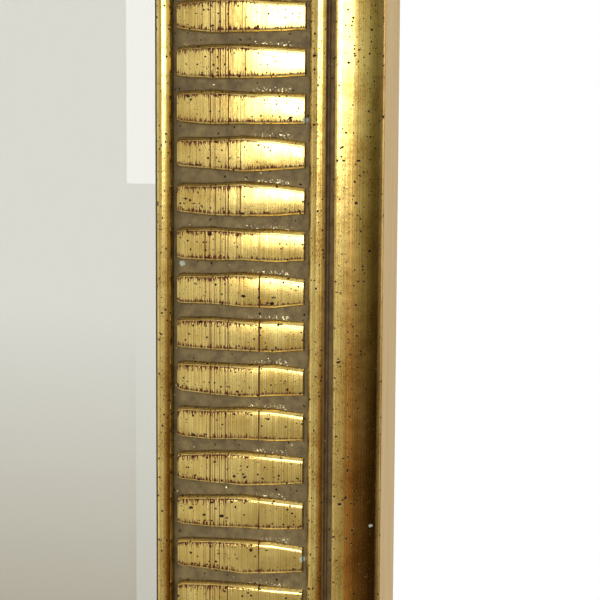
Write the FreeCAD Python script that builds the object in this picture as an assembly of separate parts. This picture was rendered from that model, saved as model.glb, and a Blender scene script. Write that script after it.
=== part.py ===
import FreeCAD
import Part

import math
import os

# Wall mirror: a bevelled glass in a mitred gilt frame that carries a ladder of raised bars.
# Sizes are in millimetres and angles in degrees. The front faces -Y, X is to the right and Z is up.
# The origin is the middle of the mirror on the surface of the wall.

# Glass
glass_width = 500.0
glass_height = 700.0
glass_thickness = 5.0
bevel_width = 20.0
bevel_drop = 2.2
glass_cover = 8.0
glass_play = 2.0
glass_seat_clearance = 0.2

# Moulding, from the sight edge outwards
sight_bead_radius = 2.8
channel_width = 43.4
crest_bead_radius = 3.15
fillet_width = 0.8
groove_width = 2.4
shoulder_radius = 1.0
roll_radius = 10.8
ledge_width = 0.8

# Moulding, levels from the back forwards
side_height = 21.0
channel_depth = 3.4
sight_bead_lift = 0.3
sight_edge_height = 8.0
fillet_drop = 1.2

# Ladder ornament, pressed as one strip with its bars
strip_base = 1.2
strip_clearance = 0.1
bar_pitch = 14.0
bar_gap_middle = 2.7
bar_gap_end = 4.8
bar_inner_margin = 1.0
bar_outer_margin = 1.4
bar_height = 2.2
bar_flank_lean = 0.8
bar_end_lean = 1.2

# Layers behind the glass
silvering_thickness = 0.3
card_thickness = 2.0
board_thickness = 3.0
board_clearance = 0.5

# Setting blocks that centre the glass in its rebate
block_length = 20.0
block_front_gap = 0.3
block_place_share = 0.6

# Glazing points that hold the board
point_length = 15.0
point_width = 6.0
point_thickness = 0.6
point_bite = 6.5
point_tip = 3.0
point_spacing = 130.0

# Steel wedges that pull each mitre together
wedge_arm = 6.0
wedge_thickness = 0.8
wedge_depth = 10.0
wedge_half_angle = 50.0
wedge_place_shares = (0.3, 0.7)

# Ring hangers
hanger_drop = 250.0
hanger_edge_gap = 4.0
strap_width = 14.0
strap_length = 34.0
strap_leaf = 0.9
ring_pin_radius = 1.4
ring_running_clearance = 0.05
ring_side_clearance = 0.6
ring_bend_radius = 3.0

# Hanger screws
screw_radius = 1.6
screw_head_radius = 2.8
screw_head_height = 1.5
screw_length = 16.0
screw_flats = 8
screw_clearance = 0.05
screw_places = (9.0, 25.0)

# Rubber bumpers that keep the frame off the wall
bumper_base_radius = 9.0
bumper_face_radius = 7.5
bumper_rim = 0.8
bumper_rise = 100.0
hanger_wall_clearance = 0.3

# One overrun serves every cut and trim
overrun = 1.0

# A point half way round a quarter circle lies this share of the radius along each axis
diagonal_share = math.sqrt(0.5)

# Sight opening, and the moulding's steps outwards from the sight edge
sight_width = glass_width - 2 * glass_cover
sight_height = glass_height - 2 * glass_cover
rebate_width = glass_cover + glass_play
channel_start = 2 * sight_bead_radius
channel_end = channel_start + channel_width
crest_middle = channel_end + crest_bead_radius
crest_end = crest_middle + math.sqrt(crest_bead_radius**2 - (crest_bead_radius - fillet_drop) ** 2)
fillet_end = crest_end + fillet_width
groove_end = fillet_end + groove_width
shoulder_end = groove_end + shoulder_radius
roll_end = shoulder_end + roll_radius
moulding_width = roll_end + ledge_width
back_width = moulding_width - rebate_width

# Levels of the moulding above its back
roll_top = side_height + roll_radius
channel_floor = roll_top - channel_depth
strip_seat = channel_floor - strip_base
crest_level = roll_top - crest_bead_radius
fillet_level = roll_top - fillet_drop
sight_bead_level = channel_floor + sight_bead_lift
sight_bead_top = sight_bead_level + sight_bead_radius
lip_level = sight_bead_level - sight_edge_height
front_level = max(roll_top, sight_bead_top, channel_floor + bar_height)

# Levels of what lies in the rebate, where the bevel meets the lip along the sight edge
bevel_shown_share = (bevel_width - glass_cover) / bevel_width
glass_face_level = lip_level - glass_seat_clearance + bevel_drop * bevel_shown_share
glass_back_level = glass_face_level - glass_thickness
glass_edge_thickness = glass_thickness - bevel_drop
card_front_level = glass_back_level - silvering_thickness
board_front_level = card_front_level - card_thickness
board_back_level = board_front_level - board_thickness
point_back_level = board_back_level - point_thickness

# Hangers, which set how far the bumpers hold the frame off the wall
curl_bore_radius = ring_pin_radius + ring_running_clearance
curl_radius = curl_bore_radius + strap_leaf
strap_thickness = 2 * strap_leaf
bumper_height = 2 * curl_radius + hanger_wall_clearance
back_y = -bumper_height
ring_pin_half = strap_width / 2 + ring_side_clearance
ring_half_width = ring_pin_half + ring_bend_radius
hanger_x = sight_width / 2 + rebate_width + hanger_edge_gap
hanger_z = sight_height / 2 + moulding_width - hanger_drop

# Each side is drawn as the top one and turned about Y to its place
side_turns = {"top": 0, "right": 90, "bottom": 180, "left": 270}
member_names = {"top": "top_rail", "right": "right_stile", "bottom": "bottom_rail", "left": "left_stile"}
corner_signs = {"top_right": (1, 1), "bottom_right": (1, -1), "bottom_left": (-1, -1), "top_left": (-1, 1)}
hands = {"left": -1, "right": 1}

Vector = FreeCAD.Vector
origin = Vector(0, 0, 0)
x_axis = Vector(1, 0, 0)
y_axis = Vector(0, 1, 0)
z_axis = Vector(0, 0, 1)


def outline(start, *steps):
    """Closed wire, where a step is a point to go straight to or a (middle, end) pair to go round to."""
    edges = []
    here = start
    for step in steps:
        if isinstance(step, tuple):
            edges.append(Part.Arc(here, step[0], step[1]).toShape())
            here = step[1]
        else:
            edges.append(Part.LineSegment(here, step).toShape())
            here = step
    if not here.isEqual(start, ring_running_clearance):
        edges.append(Part.LineSegment(here, start).toShape())
    return Part.Wire(edges)


def half_length(side):
    """Half the sight length of a side."""
    return (sight_width if side in ("top", "bottom") else sight_height) / 2


def sight_offset(side):
    """Distance from the middle of the mirror to a side's sight edge."""
    return (sight_height if side in ("top", "bottom") else sight_width) / 2


def spot(side, along, out, level):
    """Point on a side drawn as the top one: along it, out from its sight edge, above its back."""
    return Vector(along, back_y - level, sight_offset(side) + out)


def turned(side, shape):
    """A shape drawn on the top side, turned to its own side."""
    shape.rotate(origin, y_axis, side_turns[side])
    return shape


def save(name, solids):
    """Writes one sub-part, which may hold several separate solids."""
    shape = solids[0] if len(solids) == 1 else Part.makeCompound(solids)
    shape.exportStep(os.path.join("parts", name + ".step"))


def mitre_prism(side):
    """Space between a side's two mitre planes."""
    inner = half_length(side) - overrun
    outer = half_length(side) + moulding_width + overrun
    far = moulding_width + overrun
    wire = outline(
        spot(side, -inner, -overrun, -overrun),
        spot(side, inner, -overrun, -overrun),
        spot(side, outer, far, -overrun),
        spot(side, -outer, far, -overrun),
    )
    return Part.Face(wire).extrude(-y_axis * (front_level + 2 * overrun))


def moulding_section(side, along):
    """Section of the moulding, from its flat back round the outside to the sight edge and the rebate."""

    def at(out, level):
        return spot(side, along, out, level)

    roll_out = shoulder_end + roll_radius * diagonal_share
    roll_level = side_height + roll_radius * diagonal_share
    shoulder_out = shoulder_end - shoulder_radius * diagonal_share
    shoulder_level = roll_top - shoulder_radius + shoulder_radius * diagonal_share
    return outline(
        at(rebate_width, 0),
        at(moulding_width, 0),
        at(moulding_width, side_height),
        at(roll_end, side_height),
        (at(roll_out, roll_level), at(shoulder_end, roll_top)),
        (at(shoulder_out, shoulder_level), at(groove_end, roll_top - shoulder_radius)),
        at(groove_end, channel_floor),
        at(fillet_end, channel_floor),
        at(fillet_end, fillet_level),
        at(crest_end, fillet_level),
        (at(crest_middle, roll_top), at(channel_end, crest_level)),
        at(channel_end, strip_seat),
        at(channel_start, strip_seat),
        at(channel_start, sight_bead_level),
        (at(sight_bead_radius, sight_bead_top), at(0, sight_bead_level)),
        at(0, lip_level),
        at(rebate_width, lip_level),
    )


def member(side, fasteners):
    """One mitred length of the moulding, with seats for the fasteners driven into it."""
    start = -(half_length(side) + moulding_width + overrun)
    length = Part.Face(moulding_section(side, start)).extrude(-2 * x_axis * start)
    return turned(side, length.common(mitre_prism(side))).cut(fasteners).Solids


def fitted_pitch(side):
    """Pitch that puts a bar on each sight corner of a side."""
    return 2 * half_length(side) / round(2 * half_length(side) / bar_pitch)


def bar_outline(side, level, flank_lean, end_lean):
    """Barrel outline of a bar in the middle of a side, drawn in from its foot."""
    inner = channel_start + bar_inner_margin + end_lean
    outer = channel_end - bar_outer_margin - end_lean
    middle = (inner + outer) / 2
    half_end = (fitted_pitch(side) - bar_gap_end) / 2 - flank_lean
    half_middle = (fitted_pitch(side) - bar_gap_middle) / 2 - flank_lean
    inner_right = spot(side, half_end, inner, level)
    inner_left = spot(side, -half_end, inner, level)
    outer_right = spot(side, half_end, outer, level)
    outer_left = spot(side, -half_end, outer, level)
    return outline(
        inner_left,
        inner_right,
        (spot(side, half_middle, middle, level), outer_right),
        outer_left,
        (spot(side, -half_middle, middle, level), inner_left),
    )


def ladder_bar(side):
    """One raised bar: a barrel outline, flanks and ends that lean in, and a flat face."""
    foot = bar_outline(side, channel_floor, 0, 0)
    face = bar_outline(side, channel_floor + bar_height, bar_flank_lean, bar_end_lean)
    return Part.makeLoft([foot, face], True, True)


def ornament_strip(side):
    """Strip in the channel of one side, its bars cut by the mitres with it."""
    inner = channel_start + strip_clearance
    outer = channel_end - strip_clearance
    reach = half_length(side) + outer + overrun
    strip = Part.makeBox(2 * reach, strip_base, outer - inner, spot(side, -reach, inner, channel_floor))
    pitch = fitted_pitch(side)
    bar = ladder_bar(side)
    last = math.floor(channel_end / pitch)
    count = round(2 * half_length(side) / pitch) + 2 * last + 1
    first = -half_length(side) - last * pitch
    bars = [bar.translated(x_axis * (first + n * pitch)) for n in range(count)]
    return turned(side, strip.multiFuse(bars).common(mitre_prism(side))).Solids


def mirror_glass():
    """Clear glass: a slab as thick as the ground edge, carrying the bevel and the flat face."""
    half_width = glass_width / 2
    half_height = glass_height / 2
    face_x = half_width - bevel_width
    face_z = half_height - bevel_width
    edge_y = back_y - glass_back_level - glass_edge_thickness
    face_y = edge_y - bevel_drop
    corner = Vector(-half_width, edge_y, -half_height)
    slab = Part.makeBox(glass_width, glass_edge_thickness, glass_height, corner)
    bevel = Part.makeWedge(
        -face_x, face_y, -face_z, -half_height, -half_width, face_x, edge_y, face_z, half_height, half_width
    )
    return slab.fuse(bevel).removeSplitter().Solids


def layer(width, height, front_level, thickness):
    """Flat sheet behind the glass."""
    corner = Vector(-width / 2, back_y - front_level, -height / 2)
    return [Part.makeBox(width, thickness, height, corner)]


def setting_blocks(side):
    """Two blocks that fill the play between the glass edge and the rebate, standing on the board."""
    front = glass_back_level + glass_edge_thickness - block_front_gap
    blocks = []
    for hand in hands.values():
        along = hand * half_length(side) * block_place_share - block_length / 2
        corner = spot(side, along, glass_cover, front)
        block = Part.makeBox(block_length, front - board_front_level, glass_play, corner)
        blocks.append(turned(side, block))
    return blocks


def glazing_points(side):
    """Pointed leaves of steel driven into the rebate wall, flat on the back of the board."""
    count = max(2, round(2 * half_length(side) / point_spacing))
    step = 2 * half_length(side) / count
    tip = rebate_width + point_bite
    half = point_width / 2
    points = []
    for n in range(count):
        along = (n + 0.5) * step - half_length(side)
        wire = outline(
            spot(side, along - half, tip - point_length, point_back_level),
            spot(side, along + half, tip - point_length, point_back_level),
            spot(side, along + half, tip - point_tip, point_back_level),
            spot(side, along, tip, point_back_level),
            spot(side, along - half, tip - point_tip, point_back_level),
        )
        points.append(turned(side, Part.Face(wire).extrude(-y_axis * point_thickness)))
    return points


def corner_wedges(right, up):
    """Two V-shaped wedges across one mitre, driven in flush with the back."""
    angle = math.radians(wedge_half_angle)
    arm = Vector(math.sin(angle), 0, -math.cos(angle))
    arm_inwards = Vector(-math.cos(angle), 0, -math.sin(angle))
    other = Vector(-arm.x, 0, arm.z)
    other_inwards = Vector(-arm_inwards.x, 0, arm_inwards.z)
    wire = outline(
        origin,
        arm * wedge_arm,
        arm * wedge_arm + arm_inwards * wedge_thickness,
        -z_axis * (wedge_thickness / math.sin(angle)),
        other * wedge_arm + other_inwards * wedge_thickness,
        other * wedge_arm,
    )
    wedge = Part.Face(wire).extrude(-y_axis * wedge_depth)
    wedge.rotate(origin, y_axis, math.degrees(math.atan2(right, up)))
    wedges = []
    for share in wedge_place_shares:
        out = rebate_width + back_width * share
        spread = Vector(right * (sight_width / 2 + out), back_y, up * (sight_height / 2 + out))
        wedges.append(wedge.translated(spread))
    return wedges


def hanger_place(hand, away, proud):
    """Point on a hanger's middle line: away from its pin towards the frame's edge, proud of the back."""
    return Vector(hand * (hanger_x + away), back_y + proud, hanger_z)


def screw_shank(place, radius, depth):
    """Shank below a point on the back, with flats in place of its thread."""
    corners = []
    for n in range(screw_flats):
        angle = 2 * math.pi * n / screw_flats
        corners.append(place + Vector(radius * math.cos(angle), 0, radius * math.sin(angle)))
    return Part.Face(outline(*corners)).extrude(-y_axis * depth)


def screw_holes(hand):
    """Holes through a strap and into its stile, a clearance wider and deeper than the screws."""
    depth = screw_length + screw_clearance + overrun
    radius = screw_radius + screw_clearance
    top = strap_thickness + overrun
    return [screw_shank(hanger_place(hand, away, top), radius, depth) for away in screw_places]


def hanger_strap(hand):
    """Steel strap folded double round the ring's pin, with a round far end and two screw holes."""
    half = strap_width / 2
    low = -z_axis * half
    straight = strap_length - half
    wire = outline(
        hanger_place(hand, 0, 0) + low,
        hanger_place(hand, straight, 0) + low,
        (hanger_place(hand, strap_length, 0), hanger_place(hand, straight, 0) - low),
        hanger_place(hand, 0, 0) - low,
    )
    plate = Part.Face(wire).extrude(y_axis * strap_thickness)
    curl_low = hanger_place(hand, 0, curl_radius) + low
    curl = Part.makeCylinder(curl_radius, strap_width, curl_low, z_axis)
    bore_low = curl_low - z_axis * overrun
    bore = Part.makeCylinder(curl_bore_radius, strap_width + 2 * overrun, bore_low, z_axis)
    return plate.fuse(curl).cut([bore] + screw_holes(hand)).Solids[0]


def hanger_screws(hand):
    """Flat-topped screws through the strap into the stile."""
    screws = []
    for away in screw_places:
        seat = hanger_place(hand, away, strap_thickness)
        head = Part.makeCylinder(screw_head_radius, screw_head_height, seat, y_axis)
        screws.append(head.fuse(screw_shank(seat, screw_radius, screw_length)))
    return screws


def bent_bar(centre, start, turn):
    """Square bar bent about a centre, from a start point and through a turn about Y."""
    across = (start - centre).normalize() * ring_pin_radius
    deep = y_axis * ring_pin_radius
    wire = outline(
        start + across + deep,
        start + across - deep,
        start - across - deep,
        start - across + deep,
    )
    return Part.Face(wire).revolve(centre, y_axis, turn)


def hanger_ring(hand):
    """Ring that points inwards: a round pin in the strap's curl, and a bow of square bar bent round to it."""

    def at(inwards, up):
        return hanger_place(hand, -inwards, curl_radius) + z_axis * up

    bend = ring_bend_radius
    pin = Part.makeCylinder(ring_pin_radius, 2 * ring_pin_half, at(0, -ring_pin_half), z_axis)
    upper = bent_bar(at(bend, ring_pin_half), at(0, ring_pin_half), -90 * hand)
    lower = bent_bar(at(bend, -ring_pin_half), at(0, -ring_pin_half), 90 * hand)
    bow = bent_bar(at(bend, 0), at(bend, ring_half_width), -180 * hand)
    return pin.multiFuse([upper, lower, bow]).Solids


def wall_bumper(hand):
    """Tapered rubber disc near a lower corner, with a chamfered rim and a flat face to the wall."""
    wire = outline(
        origin,
        x_axis * bumper_base_radius,
        x_axis * bumper_face_radius + y_axis * (bumper_height - bumper_rim),
        x_axis * (bumper_face_radius - bumper_rim) + y_axis * bumper_height,
        y_axis * bumper_height,
    )
    disc = Part.Face(wire).revolve(origin, y_axis, 360)
    out = sight_width / 2 + rebate_width + back_width / 2
    return disc.translated(Vector(hand * out, back_y, bumper_rise - sight_height / 2 - moulding_width))


def main():
    os.makedirs("parts", exist_ok=True)
    wedges = {corner: corner_wedges(right, up) for corner, (right, up) in corner_signs.items()}
    for corner, group in wedges.items():
        save(corner + "_corner_wedges", group)
    driven = [wedge for group in wedges.values() for wedge in group]
    for side, name in member_names.items():
        points = glazing_points(side)
        holes = screw_holes(hands[side]) if side in hands else []
        save(name, member(side, driven + points + holes))
        save(side + "_ornament_strip", ornament_strip(side))
        save(side + "_setting_blocks", setting_blocks(side))
        save(side + "_glazing_points", points)
    board_width = sight_width + 2 * (rebate_width - board_clearance)
    board_height = sight_height + 2 * (rebate_width - board_clearance)
    save("mirror_glass", mirror_glass())
    save("silvering", layer(glass_width, glass_height, glass_back_level, silvering_thickness))
    save("packing_card", layer(glass_width, glass_height, card_front_level, card_thickness))
    save("backing_board", layer(board_width, board_height, board_front_level, board_thickness))
    for name, hand in hands.items():
        save(name + "_hanger_ring", hanger_ring(hand))
    save("hanger_straps", [hanger_strap(hand) for hand in hands.values()])
    save("hanger_screws", [screw for hand in hands.values() for screw in hanger_screws(hand)])
    save("wall_bumpers", [wall_bumper(hand) for hand in hands.values()])


main()
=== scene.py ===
import math
import random
from types import SimpleNamespace

import bmesh
import bpy
from mathutils import Matrix, Vector


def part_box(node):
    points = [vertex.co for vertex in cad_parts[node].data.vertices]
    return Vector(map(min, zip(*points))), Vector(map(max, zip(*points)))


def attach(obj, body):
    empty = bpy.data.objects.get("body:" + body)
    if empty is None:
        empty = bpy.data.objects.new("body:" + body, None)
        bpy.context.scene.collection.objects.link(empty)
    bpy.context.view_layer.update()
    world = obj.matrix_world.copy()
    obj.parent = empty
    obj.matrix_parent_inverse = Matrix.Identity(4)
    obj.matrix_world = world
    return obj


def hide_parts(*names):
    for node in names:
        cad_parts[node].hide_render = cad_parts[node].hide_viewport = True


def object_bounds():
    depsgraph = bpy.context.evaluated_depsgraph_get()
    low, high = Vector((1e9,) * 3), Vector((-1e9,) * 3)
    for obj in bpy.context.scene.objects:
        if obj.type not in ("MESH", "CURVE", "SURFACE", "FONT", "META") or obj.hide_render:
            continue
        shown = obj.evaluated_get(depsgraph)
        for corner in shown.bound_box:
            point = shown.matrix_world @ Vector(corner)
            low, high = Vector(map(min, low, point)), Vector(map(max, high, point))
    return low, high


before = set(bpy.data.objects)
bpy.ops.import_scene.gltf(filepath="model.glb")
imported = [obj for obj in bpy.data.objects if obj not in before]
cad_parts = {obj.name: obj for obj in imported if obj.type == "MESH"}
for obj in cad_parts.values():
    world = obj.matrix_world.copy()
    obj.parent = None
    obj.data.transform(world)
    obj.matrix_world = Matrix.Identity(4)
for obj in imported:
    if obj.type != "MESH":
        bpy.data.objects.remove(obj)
cad_low, cad_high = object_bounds()

# Wall mirror: a bevelled glass in a mitred gilt frame that carries a ladder of raised bars.
# Lengths are in metres, and mm turns a size in millimetres into them. The front faces -Y and Z is up.
# Angles between faces and the bars' wander are in radians, and slopes and turns in degrees.
mm = 0.001

# Places read from the frame
stile_low, stile_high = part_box("right_stile")
strip_low, strip_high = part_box("right_ornament_strip")
sight_half_width = stile_low.x
sight_half_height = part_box("top_rail")[0].z
moulding_width = stile_high.x - stile_low.x
back_y = stile_high.y
front_level = back_y - stile_low.y
strip_start = strip_low.x - sight_half_width
strip_end = strip_high.x - sight_half_width
bar_level = back_y - strip_low.y
strip_seat = back_y - strip_high.y

# Moulding, from the sight edge outwards and from the back forwards
sight_bead_radius = 2.8 * mm
crest_bead_radius = 3.15 * mm
fillet_width = 0.8 * mm
fillet_drop = 1.2 * mm
fillet_fall = 0.7 * mm
groove_width = 2.0 * mm
shoulder_radius = 0.6 * mm
roll_radius = 11.6 * mm
ledge_width = 0.8 * mm
rebate_width = 10.0 * mm
bar_height = 2.2 * mm
sight_bead_lift = 0.3 * mm
sight_edge_height = 8.0 * mm
strip_clearance = 0.1 * mm
edge_softness = 0.22 * mm
arris_angle = 0.7
arris_length = 10.0 * mm
mitre_hairline = 0.04 * mm
bead_steps = 24
shoulder_steps = 6
flat_width = 1.2 * mm

channel_start = strip_start - strip_clearance
channel_end = strip_end + strip_clearance
channel_floor = bar_level - bar_height
crest_middle = channel_end + crest_bead_radius
crest_chord = math.sqrt(crest_bead_radius**2 - (crest_bead_radius - fillet_drop) ** 2)
fillet_end = crest_middle + crest_chord + fillet_width
groove_end = fillet_end + groove_width
shoulder_end = groove_end + shoulder_radius
side_height = front_level - roll_radius
sight_bead_level = channel_floor + sight_bead_lift
sight_edge_level = sight_bead_level - sight_edge_height

# Where the moulding's finishes meet, and where umber stands as painted shade
wash_level = channel_floor + 0.3 * mm
# Umber over the crest bead's outer flank, the fillet and the groove is partly toning wash and partly
# painted shade of the narrow groove
umber_level = front_level - 0.9 * mm
umber_start = crest_middle + 0.7 * crest_chord
# A narrow band of umber on the sight bead's flank beside the glass is painted shade, where the bead turns
# away from the light
sight_shade_width = 1.2 * mm
sight_shade_level = sight_bead_level + 2.2 * mm
clay_start = moulding_width - 0.5 * edge_softness
rebate_end = rebate_width + 0.1 * mm

# Ladder bars
bar_pitch = 14.0 * mm
bar_gap_middle = 2.9 * mm
bar_gap_inner = 4.1 * mm
bar_gap_outer = 4.7 * mm
bar_inner_margin = 1.5 * mm
bar_outer_margin = 1.4 * mm
bar_near_lean = 1.0 * mm
bar_far_lean = 0.5 * mm
bar_end_lean = 0.4 * mm
bar_end_rounding = 0.45 * mm
bar_fall = 2.4 * mm
base_fall = 1.6 * mm
base_drop = 1.4 * mm
base_steps = 6
bar_rim_inset = 0.8 * mm
bar_rim_radius = 1.6 * mm
bar_rim_slopes = (48, 30, 15, 0)
bar_far_rim_share = 0.55
bar_reaches = (-1, -0.93, -0.45, 0.05, 0.55, 1)
bar_sink = 0.3 * mm
bar_tilt = 0.2 * mm
bar_wander = 0.25 * mm
wander_angles = (8, 18)
second_wander_share = 0.6

# Hangers, wedges and bumpers on the back
ring_wire_radius = 1.4 * mm
ring_bend_radius = 3.0 * mm
ring_side_clearance = 0.6 * mm
strap_width = 14.0 * mm
strap_length = 34.0 * mm
strap_leaf = 0.9 * mm
steel_softness = 0.2 * mm
steel_rim_angle = 1.0
curl_radius = 2.35 * mm
screw_places = (9.0 * mm, 25.0 * mm)
screw_radius = 1.6 * mm
screw_tip_radius = 0.1 * screw_radius
screw_head_radius = 2.8 * mm
screw_head_height = 1.5 * mm
screw_slot_width = 0.8 * mm
screw_slot_depth = 0.7 * mm
screw_length = 16.0 * mm
wedge_arm = 6.0 * mm
wedge_thickness = 0.8 * mm
wedge_depth = 10.0 * mm
wedge_proud = 0.06 * mm
wedge_half_angle = 50
wedge_place_shares = (0.3, 0.7)
bumper_base_radius = 9.0 * mm
bumper_face_radius = 7.5 * mm
bumper_rim = 0.8 * mm
silver_clearance = 0.02 * mm
hands = {"left": -1, "right": 1}

# Each side is drawn as the top one and turned about Y to its place
side_turns = {"top": 0, "right": 90, "bottom": 180, "left": 270}
member_names = {"top": "top_rail", "right": "right_stile", "bottom": "bottom_rail", "left": "left_stile"}

# The sides' patterns lie end to end in that order, this far from middle to middle, so no two are alike
side_spacing = 3.0

# Chips on the right side where gesso shows: distance out, height and radius
chips = (
    (47.3 * mm, 59.5 * mm, 0.8 * mm),
    (8.4 * mm, 14.8 * mm, 0.9 * mm),
    (47.3 * mm, -76.5 * mm, 0.9 * mm),
    (68.4 * mm, -65 * mm, 0.4 * mm),
)
chip_raggedness = 0.9 * mm
bare_gesso = "#A6AC9A"

# Long rub lines in the leaf: distance out, half width, and where along the sides each begins
rub_lines = (
    (18.1 * mm, 0.16 * mm, -side_spacing),
    (19.6 * mm, 0.1 * mm, -side_spacing),
    (21.2 * mm, 0.1 * mm, -side_spacing),
    (22.9 * mm, 0.12 * mm, -side_spacing),
    (23.8 * mm, 0.16 * mm, -side_spacing),
    (33.6 * mm, 0.26 * mm, side_spacing - 30 * mm),
)
rub_fade = 20 * mm

# Wear inside a bar's rims: the distances out between which it changes, and its size at each
near_teeth = (24 * mm, 34 * mm, 2.2 * mm, 0.2 * mm)
far_teeth = (22 * mm, 42 * mm, 2.0 * mm, 1.1 * mm)
near_rim = (24 * mm, 34 * mm, 0.3 * mm, 0.85 * mm)
far_rim = 0.45 * mm

# Distances out between which a mark comes or goes
hair_thins = (26 * mm, 36 * mm)
glints_come = (22 * mm, 32 * mm)
roll_edge_wears = (69.2 * mm, 69.8 * mm)
crumbs_come = (25 * mm, 33 * mm)
crumbs_go = (44 * mm, 42 * mm)
# The wash darkens towards the sight bead as painted shade, and in a line near the foot of the fillet
inner_shade_goes = (6 * mm, 9 * mm)
dark_line = fillet_end - 0.6 * mm


# Colours, nodes and patterns


def linear(hex_colour):
    """Linear colour of an sRGB hex value."""
    channels = [int(hex_colour[start : start + 2], 16) / 255 for start in (1, 3, 5)]
    return tuple(c / 12.92 if c <= 0.04045 else ((c + 0.055) / 1.055) ** 2.4 for c in channels) + (1.0,)


def feed(tree, node, inputs):
    """Sets a node's inputs, and links those that are other nodes' outputs."""
    for name, value in inputs.items():
        if isinstance(value, bpy.types.NodeSocket):
            tree.links.new(value, node.inputs[name])
        else:
            node.inputs[name].default_value = value


def add(tree, kind, inputs=None, output=0, stops=None, **settings):
    """Adds a node with its settings, inputs and colour stops, and returns one of its outputs."""
    made = tree.nodes.new("ShaderNode" + kind)
    for name, value in settings.items():
        setattr(made, name, value)
    feed(tree, made, inputs or {})
    if stops:
        first, last = min(stops), max(stops)
        ramp = made.color_ramp.elements
        ramp[0].position = first
        ramp[1].position = last
        for at, tone in stops.items():
            stop = ramp[0] if at == first else ramp[-1] if at == last else ramp.new(at)
            stop.color = linear(tone)
    return made.outputs[output]


def blank(name):
    """New material with its node tree and its shader."""
    material = bpy.data.materials.new(name)
    material.use_nodes = True
    return material, material.node_tree, material.node_tree.nodes["Principled BSDF"]


def any_of(tree, *masks):
    """Mask that covers whatever any of the masks covers."""
    covered = masks[0]
    for mask in masks[1:]:
        covered = add(tree, "Math", {0: covered, 1: mask}, operation="MAXIMUM")
    return covered


def coated(tree, colour, coats):
    """Colour under coats, each a mask and the colour that covers it there."""
    for mask, tone in coats:
        colour = add(tree, "Mix", {0: mask, 6: colour, 7: linear(tone)}, 2, data_type="RGBA")
    return colour


def fleck_mask(tree, place, spacing, smallest, largest):
    """Mask of ragged flecks of many sizes, most of them small, scattered through the material."""
    wobble = add(tree, "TexNoise", {"Vector": place, "Scale": 2.5 / spacing, "Detail": 2.0}, "Color")
    shift = add(tree, "VectorMath", {0: wobble, 1: (0.5, 0.5, 0.5)}, operation="SUBTRACT")
    ragged = {0: shift, 1: (spacing * 0.5,) * 3, 2: place}
    bent = add(tree, "VectorMath", ragged, operation="MULTIPLY_ADD")
    cells = add(tree, "TexVoronoi", {"Vector": bent, "Scale": 1 / spacing}).node.outputs
    shade = add(tree, "SeparateColor", {"Color": cells["Color"]}, "Red")
    skew = add(tree, "Math", {0: shade, 1: 2.5}, operation="POWER")
    sizes = {"Value": skew, "To Min": smallest / spacing, "To Max": largest / spacing}
    reach = add(tree, "MapRange", sizes)
    inside = add(tree, "Math", {0: reach, 1: cells["Distance"]}, operation="SUBTRACT")
    edge = {"Value": inside, "From Min": -0.02, "From Max": 0.03}
    return add(tree, "MapRange", edge, interpolation_type="SMOOTHSTEP")


def streaks(tree, laid, length, width, detail=1.0, distortion=0.0):
    """Noise drawn out along the moulding, as a brush, a rubbing cloth or growth leaves it."""
    drawn = add(tree, "Mapping", {"Vector": laid, "Scale": (1 / length, 1 / width, 1 / width)})
    noise = {"Vector": drawn, "Scale": 1.0, "Detail": detail, "Distortion": distortion}
    return add(tree, "TexNoise", noise, "Fac")


def chip_mask(tree, laid):
    """Mask of the few ragged chips, each at its own place."""
    noise = {"Vector": laid, "Scale": 1 / chip_raggedness, "Detail": 2.0}
    rough = add(tree, "TexNoise", noise, "Color")
    ragged = {0: rough, 1: (chip_raggedness, chip_raggedness, 0.0), 2: laid}
    bent = add(tree, "VectorMath", ragged, operation="MULTIPLY_ADD")
    flat = add(tree, "VectorMath", {0: bent, 1: (1, 1, 0)}, operation="MULTIPLY")
    shift = chip_raggedness / 2
    masks = []
    for out, height, radius in chips:
        middle = (side_spacing - height + shift, out + shift, 0)
        gap = add(tree, "VectorMath", {0: flat, 1: middle}, "Value", operation="DISTANCE")
        masks.append(add(tree, "Math", {0: gap, 1: radius}, operation="LESS_THAN"))
    return any_of(tree, *masks)


# Finishes


def leaf_places(tree):
    """Where a point lies on its moulding, from its laid attribute, and on its bar, from its worn one."""
    laid = add(tree, "Attribute", output="Vector", attribute_name="laid")
    sides = add(tree, "SeparateXYZ", {"Vector": laid}).node.outputs
    worn = add(tree, "Attribute", output="Vector", attribute_name="worn")
    bar = add(tree, "SeparateXYZ", {"Vector": worn}).node.outputs
    across = add(tree, "Math", {0: bar["X"]}, operation="ABSOLUTE")
    return SimpleNamespace(
        laid=laid,
        along=sides["X"],
        out=sides["Y"],
        from_end=bar["Z"],
        from_rim=add(tree, "Math", {0: bar["Y"], 1: across}, operation="SUBTRACT"),
        is_bar=add(tree, "Math", {0: bar["Y"], 1: 0.0}, operation="GREATER_THAN"),
        is_far=add(tree, "Math", {0: bar["X"], 1: 0.0}, operation="GREATER_THAN"),
    )


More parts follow.
